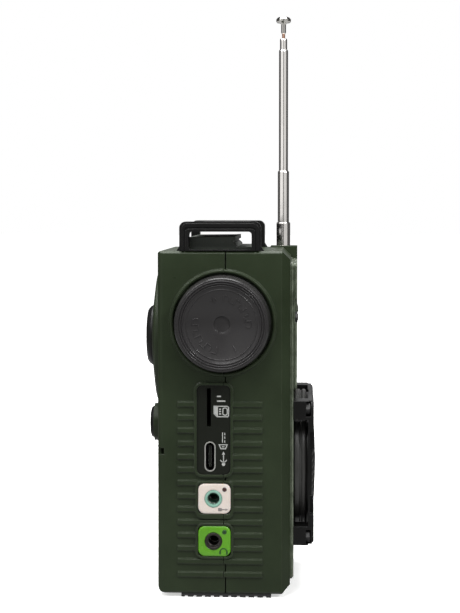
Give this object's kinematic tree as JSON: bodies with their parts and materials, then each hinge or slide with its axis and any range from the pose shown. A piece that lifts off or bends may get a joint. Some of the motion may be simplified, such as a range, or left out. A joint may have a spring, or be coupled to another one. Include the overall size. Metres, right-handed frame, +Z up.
{
  "type": "portable field receiver",
  "caption": "Small portable field receiver with side tuning wheel, guarded front speaker, telescopic antenna, torch in the back, side sockets and a carrying handle.",
  "frame": {"origin": "middle of the surface that the base pad stands on, below the middle of the case's width and depth", "axes": "+Z up; -Y is the front with the speaker and dial; -X is the side with the tuning wheel and the sockets"},
  "size_m": [0.0676, 0.0525, 0.1786],
  "materials": {
    "shell_green": "moulded olive green, satin with a fine grain",
    "window_clear": "clear polished",
    "dial_card": "printed cream dial card",
    "bright_steel": "plain bright steel",
    "panel_black": "satin black",
    "board_green": "solder-masked board",
    "aux_white": "warm white, translucent",
    "phones_green": "bright green, translucent",
    "jack_teal": "pale teal collar",
    "jack_dark": "dark grey",
    "guard_black": "satin black",
    "antenna_chrome": "polished chrome plate",
    "knob_black": "satin black, turned ridges",
    "speaker_frame": "pressed steel, black",
    "cone_paper": "black paper cone",
    "capacitor_cream": "cream plastic",
    "pointer_red": "red",
    "ferrite_grey": "ferrite with enamelled copper windings",
    "tray_black": "black",
    "battery_blue": "blue shrink sleeve",
    "pad_rubber": "black, grooved"
  },
  "bodies": {
    "case": {"rear_shell": "shell_green", "front_shell": "shell_green", "front_panel": "shell_green", "dial_bezel": "shell_green", "dial_window": "window_clear", "dial_plate": "dial_card", "bezel_bolts": "bright_steel", "port_panel": "panel_black", "usb_socket": "bright_steel", "usb_tongue": "panel_black", "card_socket": "bright_steel", "port_board": "board_green", "aux_plate": "aux_white", "phones_plate": "phones_green", "aux_jack": "jack_teal", "phones_jack": "jack_dark", "jack_lamps": "jack_dark", "handle_left": "guard_black", "handle_right": "guard_black", "handle_grip": "guard_black", "top_console": "shell_green", "antenna_column": "shell_green", "antenna_sleeve": "antenna_chrome", "speaker_guard": "guard_black", "guard_bolts": "guard_black", "speaker_drum": "guard_black", "speaker_grille": "guard_black", "speaker_basket": "speaker_frame", "speaker_cone": "cone_paper", "speaker_magnet": "speaker_frame", "main_board": "board_green", "screws": "bright_steel", "tuning_capacitor": "capacitor_cream", "pointer_guide": "bright_steel", "ferrite_antenna": "ferrite_grey", "volume_control": "bright_steel", "key_board": "board_green", "battery_tray": "tray_black", "battery_pack": "battery_blue", "door_pin": "bright_steel", "torch_housing": "shell_green", "torch_lamp": "guard_black", "torch_lens": "window_clear", "torch_switch": "jack_dark", "base_pad": "pad_rubber"},
    "tuning": {"tuning_knob": "knob_black", "tuning_shaft": "bright_steel", "drive_pinion": "capacitor_cream"},
    "pointer": {"pointer_carriage": "pointer_red"},
    "antenna_1": {"antenna_tube_1": "antenna_chrome"},
    "antenna_2": {"antenna_tube_2": "antenna_chrome"},
    "antenna_3": {"antenna_tube_3": "antenna_chrome"},
    "antenna_4": {"antenna_tube_4": "antenna_chrome", "antenna_tip": "antenna_chrome"},
    "volume": {"volume_knob": "knob_black"},
    "back_key": {"key_back": "panel_black"},
    "play_key": {"key_play": "panel_black"},
    "next_key": {"key_next": "panel_black"},
    "torch_push": {"torch_button": "panel_black"},
    "door": {"battery_door": "shell_green"}
  },
  "joints": [
    {"name": "tuning_turn", "type": "hinge", "parent": "case", "child": "tuning", "pos_m": [-0.026, 0.0002, 0.0821], "axis": [1, 0, 0], "range_deg": [-115, 115]},
    {"name": "pointer_slide", "type": "slide", "parent": "case", "child": "pointer", "axis": [0, 0, 1], "range_m": [-0.0073, 0.0073]},
    {"name": "antenna_slide_1", "type": "slide", "parent": "case", "child": "antenna_1", "axis": [0, 0, 1], "range_m": [-0.0066, 0.0624]},
    {"name": "antenna_slide_2", "type": "slide", "parent": "antenna_1", "child": "antenna_2", "axis": [0, 0, 1], "range_m": [-0.0158, 0.0492]},
    {"name": "antenna_slide_3", "type": "slide", "parent": "antenna_2", "child": "antenna_3", "axis": [0, 0, 1], "range_m": [-0.0385, 0.0225]},
    {"name": "antenna_slide_4", "type": "slide", "parent": "antenna_3", "child": "antenna_4", "axis": [0, 0, 1], "range_m": [-0.0026, 0.0544]},
    {"name": "volume_turn", "type": "hinge", "parent": "case", "child": "volume", "pos_m": [0.026, 0.0002, 0.0821], "axis": [1, 0, 0], "range_deg": [-140, 140]},
    {"name": "back_press", "type": "slide", "parent": "case", "child": "back_key", "axis": [-1, 0, 0], "range_m": [0, 0.0005], "stiffness_N_per_m": 900},
    {"name": "play_press", "type": "slide", "parent": "case", "child": "play_key", "axis": [-1, 0, 0], "range_m": [0, 0.0005], "stiffness_N_per_m": 900},
    {"name": "next_press", "type": "slide", "parent": "case", "child": "next_key", "axis": [-1, 0, 0], "range_m": [0, 0.0005], "stiffness_N_per_m": 900},
    {"name": "torch_press", "type": "slide", "parent": "case", "child": "torch_push", "axis": [0, -1, 0], "range_m": [0, 0.001], "stiffness_N_per_m": 600},
    {"name": "door_open", "type": "hinge", "parent": "case", "child": "door", "pos_m": [0, 0.0185, 0.0066], "axis": [-1, 0, 0], "range_deg": [0, 92]}
  ],
  "couplings": [
    {"joint": "pointer_slide", "follows": "tuning_turn", "m_per_rad": -0.0036}
  ]
}
